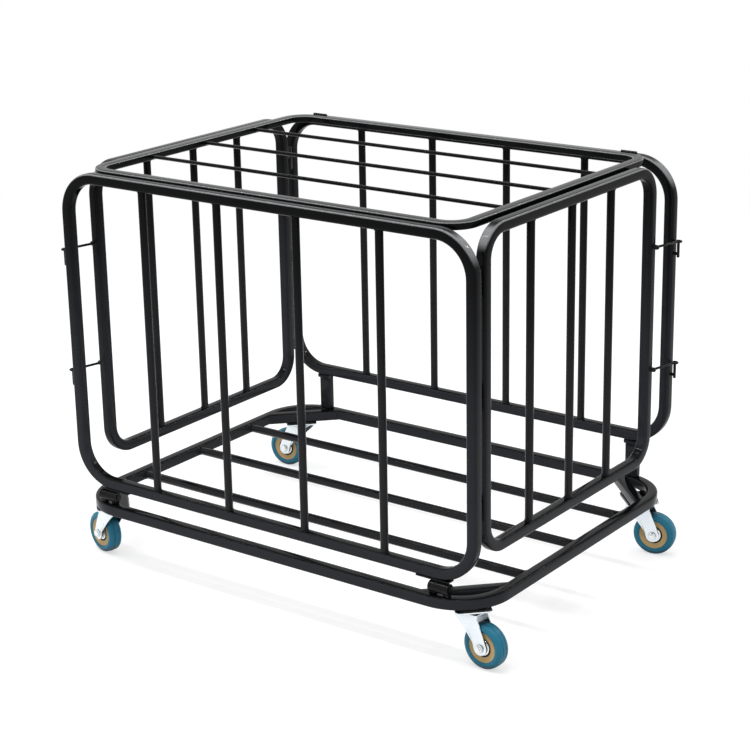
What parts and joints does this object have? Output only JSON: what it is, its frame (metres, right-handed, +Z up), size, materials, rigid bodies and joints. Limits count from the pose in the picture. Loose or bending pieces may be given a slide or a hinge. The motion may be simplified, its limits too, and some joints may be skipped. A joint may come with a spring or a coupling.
{
  "type": "ball cart",
  "caption": "Folding wire-cage cart of black tube for sports balls, with a hinged lid, hinged end panels, drop-over latches and swivel casters.",
  "frame": {"origin": "on the floor under the middle of the cart", "axes": "+X along the cart's length to its right end, +Y from the front panel to the back panel, +Z up"},
  "size_m": [0.909, 0.65, 0.721],
  "materials": {
    "frame": "satin black powder coat",
    "bar": "satin black powder coat",
    "fitting": "black coated steel fittings",
    "zinc": "bright zinc plated pressed steel",
    "tyre": "matt blue rubber",
    "rim": "ochre moulded wheel centre",
    "hub": "bright zinc plated hub cover"
  },
  "bodies": {
    "chassis": {"base_frame": "frame", "floor_bar_1": "bar", "floor_bar_2": "bar", "floor_bar_3": "bar", "front_frame": "frame", "front_bar_1": "bar", "front_bar_2": "bar", "front_bar_3": "bar", "front_bar_4": "bar", "back_frame": "frame", "back_bar_1": "bar", "back_bar_2": "bar", "back_bar_3": "bar", "back_bar_4": "bar", "front_hinge_left": "fitting", "front_hinge_right": "fitting", "latch_peg_right_lower": "fitting", "latch_peg_right_upper": "fitting", "latch_peg_left_lower": "fitting", "latch_peg_left_upper": "fitting", "caster_plate_front_right": "zinc", "caster_plate_front_left": "zinc", "caster_plate_back_right": "zinc", "caster_plate_back_left": "zinc"},
    "right_panel": {"right_frame": "frame", "right_bar_1": "bar", "right_bar_2": "bar", "right_bar_3": "bar"},
    "left_panel": {"left_frame": "frame", "left_bar_1": "bar", "left_bar_2": "bar", "left_bar_3": "bar"},
    "lid": {"lid_frame": "frame", "lid_bar_1": "bar", "lid_bar_2": "bar", "lid_bar_3": "bar"},
    "latch_right_lower": {"latch_right_lower": "fitting"},
    "latch_right_upper": {"latch_right_upper": "fitting"},
    "latch_left_lower": {"latch_left_lower": "fitting"},
    "latch_left_upper": {"latch_left_upper": "fitting"},
    "fork_front_right": {"caster_fork_front_right": "zinc", "caster_axle_front_right": "zinc"},
    "wheel_front_right": {"tyre_front_right": "tyre", "rim_front_right": "rim", "hub_front_right": "hub"},
    "fork_front_left": {"caster_fork_front_left": "zinc", "caster_axle_front_left": "zinc"},
    "wheel_front_left": {"tyre_front_left": "tyre", "rim_front_left": "rim", "hub_front_left": "hub"},
    "fork_back_right": {"caster_fork_back_right": "zinc", "caster_axle_back_right": "zinc"},
    "wheel_back_right": {"tyre_back_right": "tyre", "rim_back_right": "rim", "hub_back_right": "hub"},
    "fork_back_left": {"caster_fork_back_left": "zinc", "caster_axle_back_left": "zinc"},
    "wheel_back_left": {"tyre_back_left": "tyre", "rim_back_left": "rim", "hub_back_left": "hub"}
  },
  "joints": [
    {"name": "lid_hinge", "type": "hinge", "parent": "chassis", "child": "lid", "pos_m": [0, 0.29756, 0.7183], "axis": [-1, 0, 0], "range_deg": [0, 180]},
    {"name": "right_panel_hinge", "type": "hinge", "parent": "chassis", "child": "right_panel", "pos_m": [0.4045, -0.2845, 0.44775], "axis": [0, 0, -1], "range_deg": [0, 90]},
    {"name": "left_panel_hinge", "type": "hinge", "parent": "chassis", "child": "left_panel", "pos_m": [-0.4045, 0.2845, 0.44775], "axis": [0, 0, -1], "range_deg": [0, 90]},
    {"name": "latch_right_lower_pivot", "type": "hinge", "parent": "right_panel", "child": "latch_right_lower", "pos_m": [0.4186, 0.2485, 0.35375], "axis": [1, 0, 0], "range_deg": [0, 270]},
    {"name": "latch_left_lower_pivot", "type": "hinge", "parent": "left_panel", "child": "latch_left_lower", "pos_m": [-0.4186, -0.2485, 0.35375], "axis": [-1, 0, 0], "range_deg": [0, 270]},
    {"name": "latch_right_upper_pivot", "type": "hinge", "parent": "right_panel", "child": "latch_right_upper", "pos_m": [0.4186, 0.2485, 0.57205], "axis": [1, 0, 0], "range_deg": [0, 270]},
    {"name": "latch_left_upper_pivot", "type": "hinge", "parent": "left_panel", "child": "latch_left_upper", "pos_m": [-0.4186, -0.2485, 0.57205], "axis": [-1, 0, 0], "range_deg": [0, 270]},
    {"name": "swivel_front_right", "type": "hinge", "parent": "chassis", "child": "fork_front_right", "pos_m": [0.3865, -0.27243, 0.092], "axis": [0, 0, 1], "continuous": true},
    {"name": "spin_front_right", "type": "hinge", "parent": "fork_front_right", "child": "wheel_front_right", "pos_m": [0.41638, -0.27504, 0.038], "axis": [0.0872, 0.9962, 0], "continuous": true},
    {"name": "swivel_front_left", "type": "hinge", "parent": "chassis", "child": "fork_front_left", "pos_m": [-0.3865, -0.27243, 0.092], "axis": [0, 0, 1], "continuous": true},
    {"name": "spin_front_left", "type": "hinge", "parent": "fork_front_left", "child": "wheel_front_left", "pos_m": [-0.41573, -0.26568, 0.038], "axis": [-0.225, -0.9744, 0], "continuous": true},
    {"name": "swivel_back_right", "type": "hinge", "parent": "chassis", "child": "fork_back_right", "pos_m": [0.3865, 0.27243, 0.092], "axis": [0, 0, 1], "continuous": true},
    {"name": "spin_back_right", "type": "hinge", "parent": "fork_back_right", "child": "wheel_back_right", "pos_m": [0.41595, 0.27815, 0.038], "axis": [-0.1908, 0.9816, 0], "continuous": true},
    {"name": "swivel_back_left", "type": "hinge", "parent": "chassis", "child": "fork_back_left", "pos_m": [-0.3865, 0.27243, 0.092], "axis": [0, 0, 1], "continuous": true},
    {"name": "spin_back_left", "type": "hinge", "parent": "fork_back_left", "child": "wheel_back_left", "pos_m": [-0.41638, 0.26981, 0.038], "axis": [0.0872, -0.9962, 0], "continuous": true}
  ]
}
